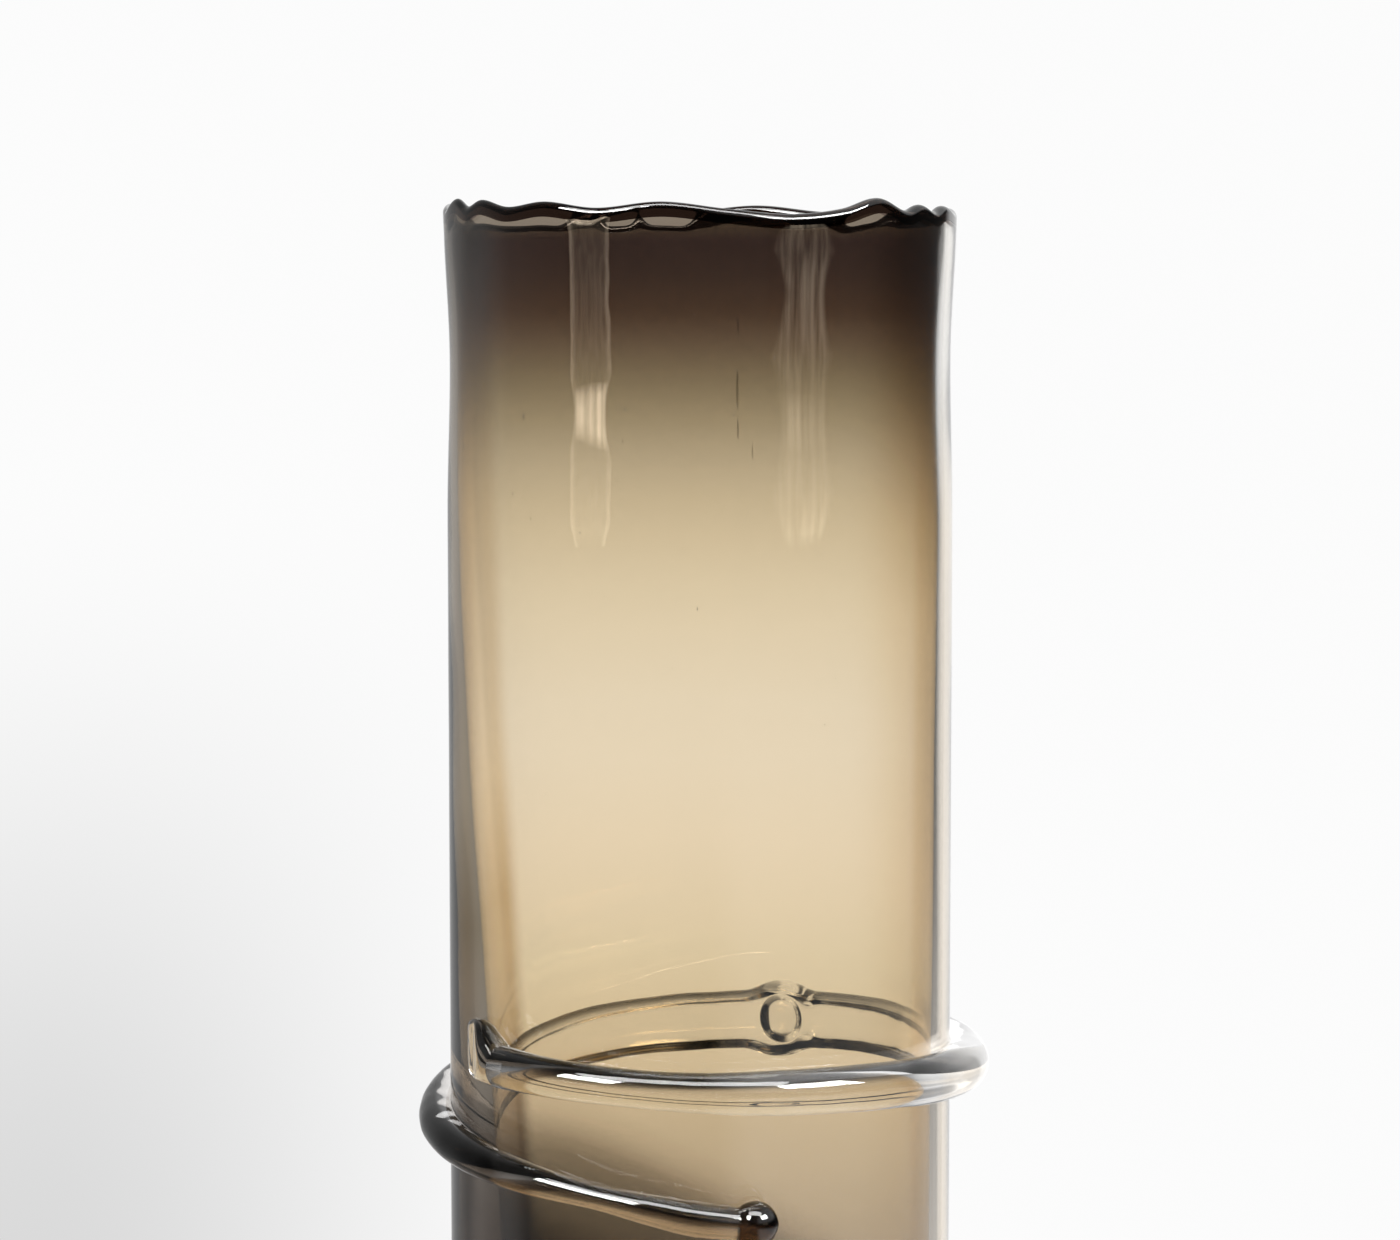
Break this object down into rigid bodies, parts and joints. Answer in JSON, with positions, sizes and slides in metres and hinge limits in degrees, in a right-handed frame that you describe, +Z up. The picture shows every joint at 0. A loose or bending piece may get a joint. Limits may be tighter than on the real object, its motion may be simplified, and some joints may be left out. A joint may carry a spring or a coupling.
{
  "type": "glass cylinder vase",
  "caption": "Tall hand-blown cylinder vase in smoke-brown cased glass, with a wavy fire-polished lip and a clear glass trail wound round its lower part.",
  "frame": {"origin": "middle of the ground foot, on the axis of the cylinder's outside", "axes": "+Z up the axis to the mouth; -Y is the front, where the trail's knob and its sheared tip are; +X to the right"},
  "size_m": [0.137, 0.1377, 0.3013],
  "materials": {
    "clear_glass": "hand-blown soda-lime glass, fire-polished, high gloss",
    "smoke_glass": "smoke-brown liner, near black-brown at the lip and honey clear in the middle, high gloss",
    "dark_smoke_glass": "smoke-brown glass gathered thick at the lip, fire-polished, high gloss"
  },
  "bodies": {
    "root": {"clear_casing": "clear_glass", "smoke_liner": "smoke_glass", "lip_bead": "dark_smoke_glass", "trail_coil": "clear_glass", "trail_start_knob": "clear_glass", "trail_sheared_tip": "clear_glass", "rear_prunt": "clear_glass"}
  },
  "joints": []
}
